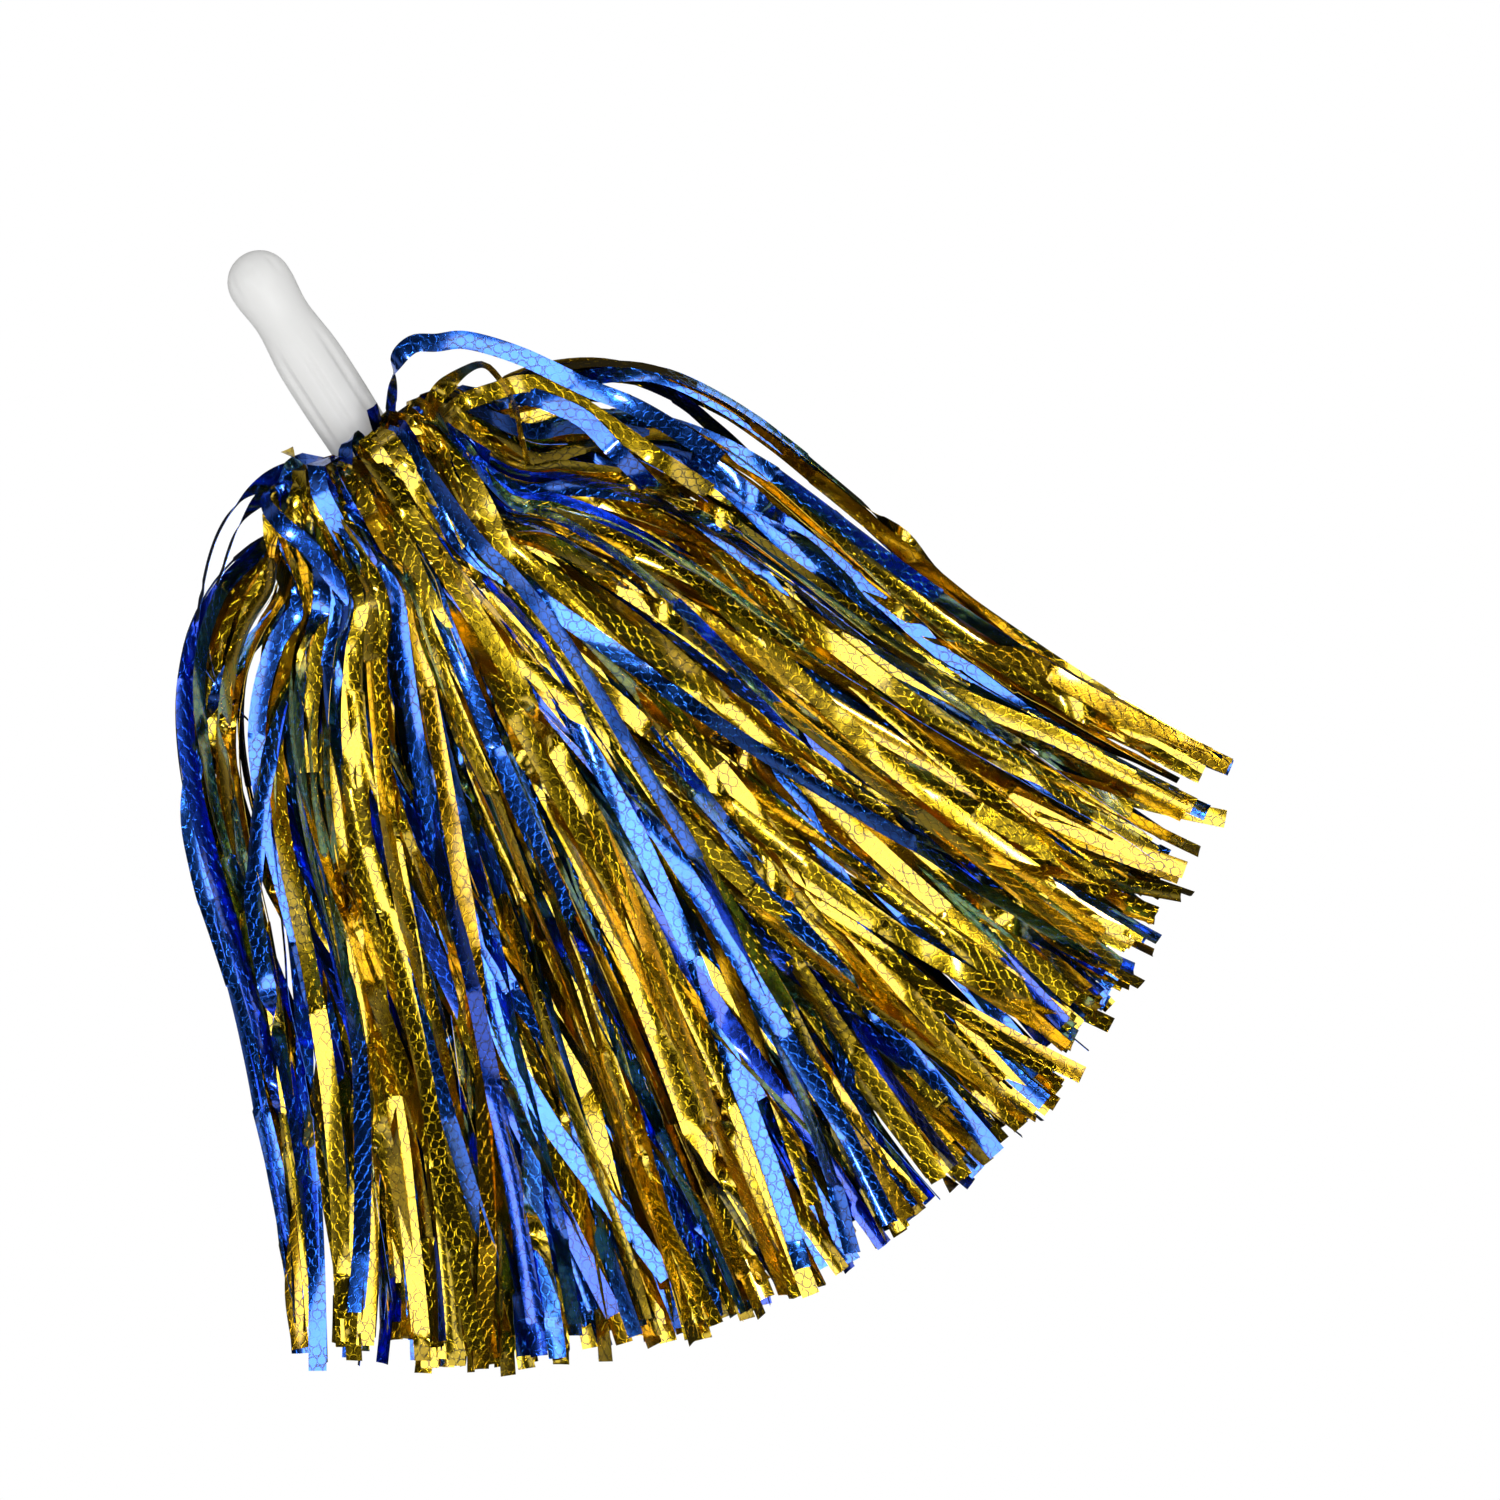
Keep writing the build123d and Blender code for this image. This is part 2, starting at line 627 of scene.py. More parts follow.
@dataclass
class FoilSheet:
    """One slit sheet: loose strips gathered in one mesh, each strip closed and square-cut."""

    name: str
    width: float = 6.0 * MM
    thickness: float = 0.06 * MM
    clear: float = 0.1 * MM
    points: list = field(default_factory=list)
    faces: list = field(default_factory=list)
    places: list = field(default_factory=list)
    count: int = 0
    rows: int = 0
    longest: float = 0.0
    area: float = 0.0

    UV = "strip"
    UV_STEP = 0.1
    RING = 6

    def add(self, path: np.ndarray, side: np.ndarray, fold: np.ndarray) -> None:
        """Lay one strip along a path.

        Args:
            path: Points down the strip's middle.
            side: Unit vectors across the strip at those points.
            fold: How far each half is turned up about the middle, in radians.
        """
        half = self.width / 2
        run = distances(path)
        up = np.cross(headings(path, run), side)
        out = side * np.cos(fold)[:, None] * half
        rise = up * np.sin(fold)[:, None] * half
        under = up * self.thickness
        top = [path - out + rise, path, path + out + rise]
        ring = np.stack([*top, *(each - under for each in top)], axis=1)
        ring[:, :3, 2] = np.maximum(ring[:, :3, 2], self.clear + self.thickness)
        ring[:, 3:, 2] = np.maximum(ring[:, 3:, 2], self.clear)
        across = np.array([-half, 0.0, half] * 2) + self.count * self.UV_STEP
        place = np.stack(np.broadcast_arrays(across[None, :], run[:, None]), axis=2)
        self.points.append(ring.reshape(-1, 3))
        self.faces.append(self.strip_faces(len(path)) + self.rows * self.RING)
        self.places.append(place.reshape(-1, 2))
        self.rows += len(path)
        self.count += 1
        self.longest = max(self.longest, float(run[-1]))
        self.area += 2 * half * float(run[-1])

    def strip_faces(self, rows: int) -> np.ndarray:
        """Quads of one closed strip.

        Args:
            rows: How many cross-sections it has.

        Returns:
            Point numbers, four to a face.
        """
        here = np.arange(rows - 1)[:, None] * self.RING
        left, mid, right, low_left, low_mid, low_right = range(self.RING)
        ahead = self.RING
        quads = [
            (left, mid, mid + ahead, left + ahead),
            (mid, right, right + ahead, mid + ahead),
            (low_left, low_left + ahead, low_mid + ahead, low_mid),
            (low_mid, low_mid + ahead, low_right + ahead, low_right),
            (left, left + ahead, low_left + ahead, low_left),
            (right, low_right, low_right + ahead, right + ahead),
        ]
        body = np.concatenate([here + np.array(quad)[None, :] for quad in quads])
        last = (rows - 1) * self.RING
        ends = np.array(
            [
                (left, low_left, low_mid, mid),
                (mid, low_mid, low_right, right),
                (left + last, mid + last, low_mid + last, low_left + last),
                (mid + last, right + last, low_right + last, low_mid + last),
            ]
        )
        return np.concatenate([body, ends])

    def build(self, material: bpy.types.Material) -> bpy.types.Object:
        """Make the mesh object.

        Args:
            material: The foil's finish.

        Returns:
            The object, linked to the scene.
        """
        points, faces = np.concatenate(self.points), np.concatenate(self.faces)
        places = np.concatenate(self.places)
        mesh = bpy.data.meshes.new(self.name)
        mesh.from_pydata(points.tolist(), [], faces.tolist())
        layer = mesh.uv_layers.new(name=self.UV)
        layer.data.foreach_set("uv", places[faces.reshape(-1)].astype(np.float32).reshape(-1))
        mesh.shade_smooth()
        mesh.set_sharp_from_angle(angle=math.radians(50))
        mesh.materials.append(material)
        made = bpy.data.objects.new(self.name, mesh)
        bpy.context.collection.objects.link(made)
        return made


@dataclass
class StripMaker:
    """Draws foil strips with the kinks, twists and creases of handled film."""

    seed: int
    step: float = 3.6 * MM
    crease_half: float = 0.35 * MM
    crease_gap: tuple = (30 * MM, 120 * MM)
    most_creases: int = 40
    short_gaps: float = 0.15
    short_gap: float = 0.4
    rim_run: float = 35 * MM
    floor: float = 0.3 * MM
    ceiling: float = 53.0 * MM
    rng: np.random.Generator = field(init=False)
    creases: np.ndarray = field(init=False)

    def __post_init__(self) -> None:
        """Start the strip's own run of chances."""
        self.rng = np.random.default_rng(self.seed)
        self.creases = np.array([])

    def creased(self, run: np.ndarray, gap: tuple, spread: float, blur: float) -> np.ndarray:
        """A value that holds level for a while and then drifts to another.

        Args:
            run: Distances along the strip.
            gap: Shortest and longest distance between the changes.
            spread: How far the value strays.
            blur: Half the length over which it changes.

        Returns:
            The value at each distance.
        """
        spots, levels = [0.0], [self.rng.normal(0, spread)]
        at = self.rng.uniform(0, gap[1])
        while at < run[-1]:
            spots += [at - blur, at + blur]
            level = self.rng.normal(0, spread)
            levels += [levels[-1], level]
            at += self.rng.uniform(*gap) + 2 * blur
        return np.interp(run, spots, levels)

    def folded(self, run: np.ndarray, spread: float) -> np.ndarray:
        """A value that changes at once at the strip's creases.

        Args:
            run: Distances along the strip.
            spread: How far the value strays.

        Returns:
            The value at each distance.
        """
        count = len(self.creases)
        levels = self.rng.normal(0, spread, count + 1)
        if count == 0:
            return np.full(len(run), levels[0])
        spots = np.repeat(self.creases, 2) + np.tile([-self.crease_half, self.crease_half], count)
        return np.interp(run, spots, np.repeat(levels, 2)[1:-1])

    def resample(self, path: np.ndarray) -> tuple[np.ndarray, np.ndarray]:
        """Choose a strip's creases, and the places of its cross-sections.

        Args:
            path: Close points along the path.

        Returns:
            The cross-sections' middles and their distances along the path.
        """
        run, rng, most = distances(path), self.rng, self.most_creases
        shares = [self.short_gaps, 1 - self.short_gaps]
        gaps = rng.uniform(*self.crease_gap, most) * rng.choice([self.short_gap, 1.0], most, p=shares)
        spots = np.cumsum(gaps)
        self.creases = spots[spots < run[-1] - 4 * MM]
        even = np.linspace(0.0, run[-1], max(4, int(run[-1] / self.step)))
        clear = np.ones(len(even), bool)
        for crease in self.creases:
            clear &= np.abs(even - crease) > 2.5 * self.crease_half
        clear[[0, -1]] = True
        pairs = [self.creases - self.crease_half, self.creases + self.crease_half]
        places = np.sort(np.concatenate([even[clear], *pairs]))
        return np.stack([np.interp(places, run, path[:, k]) for k in range(3)], axis=1), places

    def shake(self, path: np.ndarray, run: np.ndarray, sway: float, heave: float) -> np.ndarray:
        """Bend a path a little at its creases, sideways and up and down.

        Args:
            path: Points of the path.
            run: Their distances along it.
            sway: Spread of the sideways slope.
            heave: Spread of the upward slope.

        Returns:
            The bent path.
        """
        ahead = headings(path, run)
        level = unit(np.cross(ahead, (0.0, 0.0, 1.0)))
        eased = smooth(run / (30 * MM))
        for direction, slope in ((level, sway), (np.cross(level, ahead), heave)):
            slopes = self.folded(run, slope)
            steps = 0.5 * (slopes[1:] + slopes[:-1]) * np.diff(run)
            drift = np.concatenate([[0.0], np.cumsum(steps)])
            drift -= drift[-1] * 0.9 * run / run[-1]
            path = path + direction * (drift * eased)[:, None]
        return path

    def sides(self, path: np.ndarray, run: np.ndarray, roll: np.ndarray) -> np.ndarray:
        """Directions across a strip that starts in the mouth and comes to lie flat.

        Args:
            path: Points of the path.
            run: Their distances along it.
            roll: Turn about the path, in radians, where 0 lies flat.

        Returns:
            Unit vectors.
        """
        ahead = headings(path, run)
        reach = path[min(len(path) - 1, int(self.rim_run / self.step))] - np.array(POINT)
        around = math.atan2(reach[0], max(reach[2], -0.2 * abs(reach[0])))
        rim = np.array([math.cos(around), 0.0, -math.sin(around)])
        level = unit(np.cross((0.0, 0.0, 1.0), ahead))
        share = smooth((run - 30 * MM) / (30 * MM))[:, None]
        flat = rim[None, :] * (1 - share) + level * share
        flat = unit(flat - ahead * np.sum(flat * ahead, axis=1, keepdims=True))
        upward = np.cross(ahead, flat)
        return flat * np.cos(roll)[:, None] + upward * np.sin(roll)[:, None]

    def curve(self, knots: list[tuple]) -> np.ndarray:
        """A smooth path through a few points.

        Args:
            knots: The points.

        Returns:
            Close points along the path.
        """
        given = np.array(knots, float)
        held = np.concatenate([[2 * given[0] - given[1]], given, [2 * given[-1] - given[-2]]])
        share = np.linspace(0, 1, 12, endpoint=False)[:, None]
        parts = []
        for a, b, c, d in zip(held, held[1:], held[2:], held[3:]):
            bend, twist = 2 * a - 5 * b + 4 * c - d, 3 * b - a - 3 * c + d
            parts.append(b + 0.5 * ((c - a) * share + bend * share**2 + twist * share**3))
        return np.concatenate([*parts, given[-1:]])

    def held_in(self, path: np.ndarray, side: np.ndarray, half: float) -> np.ndarray:
        """Keep a path off the floor and under the heap's greatest height.

        Args:
            path: Points of the path.
            side: Directions across the strip.
            half: Half the strip's width.

        Returns:
            The path, moved where it must be.
        """
        spare = np.abs(side[:, 2]) * half
        lifted = path.copy()
        lifted[:, 2] = np.clip(path[:, 2], self.floor + spare, self.ceiling - spare)
        return lifted


# ---------------------------------------------------------------- the fan


@dataclass
class Fan:
    """The heap of foil that lies spread in front of the handle's mouth."""

    flare_reach: float = 120.0 * MM
    flare_power: float = 3.5
    crest: float = 44.0 * MM
    tip_height: float = 17.0 * MM
    crest_at: float = 55.0 * MM
    mouth_half: float = 7.0 * MM
    joined_at: float = 32.0 * MM
    tip_short: float = 0.06

    def angle(self, layer: Layer, across: Values, away: Values) -> Values:
        """The direction from the mouth in which a strip lies.

        Args:
            layer: The layer of the heap.
            across: Place across the fan, from -1 to 1.
            away: Distances from the mouth.

        Returns:
            Angles in radians, from the handle's axis.
        """
        shape = layer.shape
        flare = shape.flare_angle / (1 + (away / self.flare_reach) ** self.flare_power)
        return np.radians(shape.tip_angle * across + flare * across * np.abs(across) ** 0.8)

    def height(self, away: np.ndarray, level: np.ndarray, across: np.ndarray) -> np.ndarray:
        """Height of a strip in the heap.

        Args:
            away: Distances from the mouth.
            level: Place in the heap, from 0 at the floor to 1 on top.
            across: Place across the fan, from -1 to 1.

        Returns:
            Heights above the floor.
        """
        drop = smooth(away / 0.03)
        low = (POINT.z - self.mouth_half) * (1 - drop) + 0.6 * MM * drop
        fall = np.clip((away - self.crest_at) / (REACH - self.crest_at), 0, 1)
        roof = self.crest + (self.tip_height - self.crest) * fall**0.85
        roof = roof * (1 - 0.36 * across**2 * smooth(away / 0.08))
        rise = smooth(away / 0.035)
        high = (POINT.z + self.mouth_half) * (1 - rise) + roof * rise
        return low + level * (high - low)

    def path(self, layer: Layer, across: np.ndarray, level: np.ndarray, away: np.ndarray) -> np.ndarray:
        """The run of one strip over the heap.

        Args:
            layer: The layer of the heap.
            across: Place across the fan at each distance.
            level: Place in the heap at each distance.
            away: Distances from the mouth.

        Returns:
            Points of the path.
        """
        angle = self.angle(layer, across, away)
        x = POINT.x + away * np.sin(angle)
        y = POINT.y - away * np.cos(angle)
        return np.stack([x, y, self.height(away, level, across)], axis=1)

    def spill(self, turn: float, root: float, back: float, size: float) -> list[tuple]:
        """Knots of a strip that leaves the mouth and folds back over its rim.

        Args:
            turn: Angle round the handle, from straight up.
            root: The strip's distance from the axis in the mouth.
            back: How far behind the rim it goes.
            size: How far out it goes, where 1 stays close to the handle.

        Returns:
            The knots, from the mouth outward.
        """
        profile = (
            (root, 1.0 * MM),
            (root + 1.5 * MM, -4.0 * MM),
            (root + 5.0 * MM, -7.5 * MM),
            (root + 9.0 * MM * size, -4.0 * MM),
            (root + 12.0 * MM * size, back * 0.75),
            (root + 16.0 * MM * size, back),
            (root + 21.0 * MM * size, back * 0.6 - 1.0 * MM),
        )
        return [
            (
                POINT.x + out * math.sin(turn),
                POINT.y + along,
                max(POINT.z + out * math.cos(turn), 1.5 * MM),
            )
            for out, along in profile
        ]


@dataclass(frozen=True)
class Lock:
    """A few strips that lie together."""

    across: float
    level: float
    drift: float
    roll: float


@dataclass
class Tuft:
    """The loose strips of one sheet that lie in one column of one layer.

    Attributes:
        fan: The heap that it is part of.
        layer: Its layer.
        column: Its column.
        foil: Its colour.
        lock_across: Spread of the locks' places across the fan.
        lock_drift: Spread of how far a lock wanders across the fan on its way.
        lock_roll: Spread of a lock's turn about its length, in radians.
        strip_across: Spread of the strips' places in a lock.
        strip_drift: Spread of how far a strip wanders out of its lock.
        strays: Share of the strips that leave their lock.
        stray_drift: How far those wander at most.
        ragged: Spread of what the strips lack in length.
        sway: Spread of the bends to the side at creases.
        heave: Spread of the bends up and down there.
        twisted: Share of the strips with a half turn in them.
    """

    fan: Fan
    layer: Layer
    column: Column
    foil: Foil
    lock_across: float = 0.05
    lock_drift: float = 0.16
    lock_roll: float = 0.32
    strip_across: float = 0.03
    strip_drift: float = 0.08
    strays: float = 0.28
    stray_drift: float = 0.6
    ragged: float = 9 * MM
    sway: float = 0.04
    heave: float = 0.09
    twisted: float = 0.4

    @property
    def node(self) -> str:
        """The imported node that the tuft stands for."""
        return f"{self.foil.value}_{self.layer.word}_{self.column.word}"

    @property
    def body(self) -> str:
        """The name of the tuft's body in the model."""
        return f"{self.layer.word}_{self.column.word}"

    @property
    def parent(self) -> str:
        """The body that the tuft's body hangs on."""
        return next(j["parent"] for j in frame["joints"] if j["child"] == self.body)

    def lock(self, maker: StripMaker, share: float) -> Lock:
        """Choose the lie of one lock.

        Args:
            maker: Gives the chances.
            share: Place across the tuft, from 0 to 1.

        Returns:
            The lock.
        """
        rng = maker.rng
        return Lock(
            across=self.column.middle + (share - 0.5) * 2.0 / len(Column) + rng.normal(0, self.lock_across),
            level=rng.uniform(*self.layer.shape.level),
            drift=rng.normal(0, self.lock_drift),
            roll=rng.normal(0, self.lock_roll),
        )

    def knots(self, maker: StripMaker, lock: Lock) -> list[tuple]:
        """Places that one strip of a lock passes, from the mouth to its tip.

        Args:
            maker: Gives the chances.
            lock: The lock that it lies in.

        Returns:
            The knots.
        """
        rng, shape = maker.rng, self.layer.shape
        start = lock.across + rng.normal(0, self.strip_across)
        stray = rng.uniform(-self.stray_drift, self.stray_drift) if rng.random() < self.strays else 0.0
        drift = lock.drift + rng.normal(0, self.strip_drift) + stray
        tip = REACH * (1 - self.fan.tip_short * start**2) - abs(rng.normal(0, self.ragged))
        spilled = abs(start) >= shape.spill_from
        size = 1 + shape.spill_wide * min(abs(start), 1.0) * rng.uniform(0.75, 1.0)
        away = np.linspace(self.fan.joined_at * size if spilled else 8 * MM, tip, 16)
        rest = self.course(rng, lock, start, drift, away)
        root = rng.uniform(0.5, 7.0) * MM
        if not spilled:
            turn = rng.uniform(-math.pi, math.pi)
            inside = (POINT.x + root * math.sin(turn), POINT.y + MM, POINT.z + 0.8 * root * math.cos(turn))
            return [inside, *rest]
        turn = math.radians(shape.spill_turn * start + rng.normal(0, 8))
        back = rng.uniform(*shape.spill_back) * MM
        return [*self.fan.spill(turn, root, back, size), *rest]

    def course(
        self, rng: np.random.Generator, lock: Lock, start: float, drift: float, away: np.ndarray
    ) -> list[tuple]:
        """Places that a strip passes beyond the mouth.

        Args:
            rng: Gives the chances.
            lock: The lock that it lies in.
            start: Its place across the fan at the mouth.
            drift: How far it wanders across the fan by its tip.
            away: Distances from the mouth.

        Returns:
            The places.
        """
        gone = np.maximum(away - 30 * MM, 0) / (270 * MM)
        across = np.clip(start + drift * gone**0.8, -1.0, 1.0)
        wave = 0.025 * np.sin(away * rng.uniform(20, 60) + rng.uniform(0, 6))
        level = np.clip(lock.level + rng.normal(0, 0.03) + wave, 0, 1.04)
        return [tuple(row) for row in self.fan.path(self.layer, across, level, away)]

    def strip(self, maker: StripMaker, sheet: FoilSheet, lock: Lock) -> None:
        """Draw one strip of the tuft.

        Args:
            maker: Draws the strip.
            sheet: Gets the strip.
            lock: The lock that it lies in.
        """
        points, run = maker.resample(maker.curve(self.knots(maker, lock)))
        points = maker.shake(points, run, self.sway, self.heave)
        roll = self.roll(maker, lock, run)
        fold = 1 - smooth(run / (22 * MM)) + np.abs(maker.creased(run, (0.02, 0.07), 0.16, 0.004))
        side = maker.sides(points, run, roll)
        sheet.add(maker.held_in(points, side, sheet.width / 2), side, fold)

    def roll(self, maker: StripMaker, lock: Lock, run: np.ndarray) -> np.ndarray:
        """How a strip turns about its length.

        Args:
            maker: Gives the chances.
            lock: The lock that it lies in.
            run: Distances along the strip.

        Returns:
            Turns in radians, where 0 lies flat.
        """
        rng = maker.rng
        roll = lock.roll + rng.normal(0, self.layer.shape.tumble) + maker.folded(run, 0.18)
        roll += maker.creased(run, (0.08, 0.20), 0.32, 0.03)
        if rng.random() < self.twisted:
            spot, turn = rng.uniform(0.05, 0.28), rng.choice([-1, 1]) * math.pi
            roll += turn * smooth((run - spot) / rng.uniform(0.02, 0.05))
        return roll * (0.35 + 0.65 * smooth((run - 20 * MM) / (40 * MM)))

    def build(self, material: bpy.types.Material) -> bpy.types.Object:
        """Make the tuft and hide its imported node.

        Args:
            material: The foil's finish.

        Returns:
            The tuft.
        """
        sheet = FoilSheet(f"foil_{self.node}")
        colour, height = list(Foil).index(self.foil), list(Layer).index(self.layer)
        maker = StripMaker(1000 * colour + 100 * height + 10 * self.column.value[1] + 7)
        total = self.layer.shape.strips[colour]
        while sheet.count < total:
            lock = self.lock(maker, (sheet.count + 1.0) / total)
            for _ in range(min(int(maker.rng.integers(2, 5)), total - sheet.count)):
                self.strip(maker, sheet, lock)
        made = sheet.build(material)
        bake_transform(made)
        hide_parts(self.node)
        return made


# ---------------------------------------------------------------- the mouth


@dataclass(frozen=True)
class LooseStrip:
    """One strip at the mouth that stands out from the rest, in millimetres from the mouth."""

    foil: Foil
    roll: float
    knots: tuple


LOOSE_STRIPS = (
    LooseStrip(Foil.BLUE, 0.35, (
        (6, 6, 24), (12, 14, 30), (17, 20, 36), (24, 28, 42), (32, 30, 45), (39, 26, 47),
        (48, 21, 48), (60, 7, 48), (72, -12, 45), (84, -29, 40), (97, -55, 26),
    )),
    LooseStrip(Foil.GOLD, 1.35, (
        (10, 0, 26), (22, 9, 33), (32, 13, 38), (41, 14, 42), (48, 12, 44), (50, 4, 45),
        (49, -6, 43), (45, -16, 38), (41, -27, 28),
    )),
    LooseStrip(Foil.GOLD, 0.15, (
        (7, -2, 25), (19, 6, 33), (33, 6, 38), (46, 3, 42), (57, -1, 43), (64, -10, 43),
        (70, -22, 42), (79, -43, 39), (88, -62, 26),
    )),
    LooseStrip(Foil.BLUE, 0.1, (
        (30, 4, 32), (45, 2, 39), (55, -5, 42), (60, -11, 43), (66, -21, 43), (69, -35, 41),
        (73, -52, 28),
    )),
    LooseStrip(Foil.BLUE, 1.3, (
        (-8, 8, 18), (-22, 18, 22), (-36, 20, 26), (-50, 17, 26), (-63, 9, 22),
        (-78, -6, 15), (-84, -16, 11), (-85, -28, 8), (-82, -44, 5),
    )),
    LooseStrip(Foil.BLUE, 1.45, (
        (-8, 6, 15), (-20, 15, 18), (-34, 17, 21), (-49, 13, 20), (-62, 4, 16),
        (-76, -8, 11), (-83, -20, 8), (-86, -32, 5),
    )),
    LooseStrip(Foil.GOLD, 0.1, (
        (-6, -3, 20), (-13, 0, 27), (-18, 6, 30), (-20.5, 13, 30), (-22, 25, 28),
    )),
    LooseStrip(Foil.BLUE, 0.2, (
        (-10, 4, 20), (-22, 12, 25), (-33, 17, 29), (-37, 13, 32), (-36, 4, 35),
        (-33, -6, 37), (-31, -20, 38), (-29, -34, 36), (-27, -50, 24),
    )),
    LooseStrip(Foil.GOLD, 0.1, (
        (3, -4, 24), (6, 6, 31), (6, 13, 35), (4.5, 12, 38), (2, 2, 40), (-2, -14, 43),
        (-7, -32, 45), (-10, -56, 44), (-14, -88, 28),
    )),
    LooseStrip(Foil.BLUE, 0.2, (
        (-3, 2, 24), (-1, 11, 30), (-1, 16, 33), (-4, 15, 36), (-7, 10, 37), (-9, 0, 39),
        (-11, -14, 38), (-13, -28, 28),
    )),
    LooseStrip(Foil.BLUE, 0.5, (
        (5, 2, 22), (7, 10, 27), (8, 15, 30), (10, 21, 33),
    )),
    LooseStrip(Foil.BLUE, 0.6, (
        (9, 2, 25), (15, 10, 30), (18, 13, 33), (20, 11, 37), (17, 6, 38), (14, -4, 38),
        (12, -16, 30),
    )),
    LooseStrip(Foil.GOLD, -0.15, (
        (8, 0, 27), (14, 8, 33), (17, 9, 36), (18, 3, 39), (16, -10, 43), (14, -26, 45),
        (11, -44, 44), (8, -70, 28),
    )),
    LooseStrip(Foil.GOLD, -0.2, (
        (14, -2, 27), (21, 5, 33), (25, 5, 37), (26, -2, 40), (24.5, -14, 43), (23, -30, 44),
        (20, -48, 43), (16, -74, 27),
    )),
)


@dataclass
class MouthSpray:
    """The short loops and curls of one colour that are bunched at the handle's mouth."""

    foil: Foil
    fan: Fan
    curls: int = 9

    @property
    def node(self) -> str:
        """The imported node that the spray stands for."""
        return f"{self.foil.value}_crown"

    def curl(self, maker: StripMaker, sheet: FoilSheet) -> None:
        """One strip that folds back over the rim and ends inside the heap.

        Args:
            maker: Draws the strip.
            sheet: Gets the strip.
        """
        rng = maker.rng
        turn = math.radians(rng.uniform(-100, 100))
        knots = self.fan.spill(turn, rng.uniform(0.5, 6.0) * MM, rng.uniform(-3, 9) * MM, 1.0)
        across, level = turn / math.radians(110), 0.9 - 0.35 * abs(turn)
        away = np.array([0.032, 0.042, 0.052, 0.064])
        sunk = level - np.array([0.0, 0.12, 0.3, 0.5])
        rest = self.fan.path(Layer.MIDDLE, np.full(4, across), np.clip(sunk, 0.02, 1), away)
        points, run = maker.resample(maker.curve([*knots, *map(tuple, rest)]))
        roll = rng.normal(0, 0.25) + maker.folded(run, 0.3)
        self.lay(maker, sheet, points, run, roll)

    def lay(
        self, maker: StripMaker, sheet: FoilSheet, points: np.ndarray, run: np.ndarray, roll: np.ndarray
    ) -> None:
        """Add one strip, gathered at its root.

        Args:
            maker: Draws the strip.
            sheet: Gets the strip.
            points: Its path.
            run: Distances along the path.
            roll: Its turn about the path.
        """
        fold = 0.8 * (1 - smooth(run / 0.02)) + np.abs(maker.creased(run, (0.02, 0.05), 0.12, 0.003))
        side = maker.sides(points, run, roll)
        sheet.add(maker.held_in(points, side, sheet.width / 2), side, fold)

    def loose(self, maker: StripMaker, sheet: FoilSheet, strip: LooseStrip) -> None:
        """One strip that stands out.

        Args:
            maker: Draws the strip.
            sheet: Gets the strip.
            strip: Its knots and roll.
        """
        knots = [(POINT.x + x * MM, POINT.y + y * MM, z * MM) for x, y, z in strip.knots]
        inside = (POINT.x + strip.knots[0][0] * 0.5 * MM, POINT.y + MM, POINT.z + 2 * MM)
        points, run = maker.resample(maker.curve([inside, *knots]))
        roll = strip.roll + maker.folded(run, 0.14)
        self.lay(maker, sheet, points, run, roll)

    def build(self, material: bpy.types.Material) -> bpy.types.Object:
        """Make the spray and hang it on the handle.

        Args:
            material: The foil's finish.

        Returns:
            The spray.
        """
        sheet = FoilSheet(f"spray_{self.foil.value}")
        maker = StripMaker(5000 + list(Foil).index(self.foil), step=1.5 * MM)
        for _ in range(self.curls):
            self.curl(maker, sheet)
        for strip in LOOSE_STRIPS:
            if strip.foil is self.foil:
                self.loose(maker, sheet, strip)
        made = sheet.build(material)
        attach(made, "handle")
        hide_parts(self.node)
        return made


# ---------------------------------------------------------------- the handle


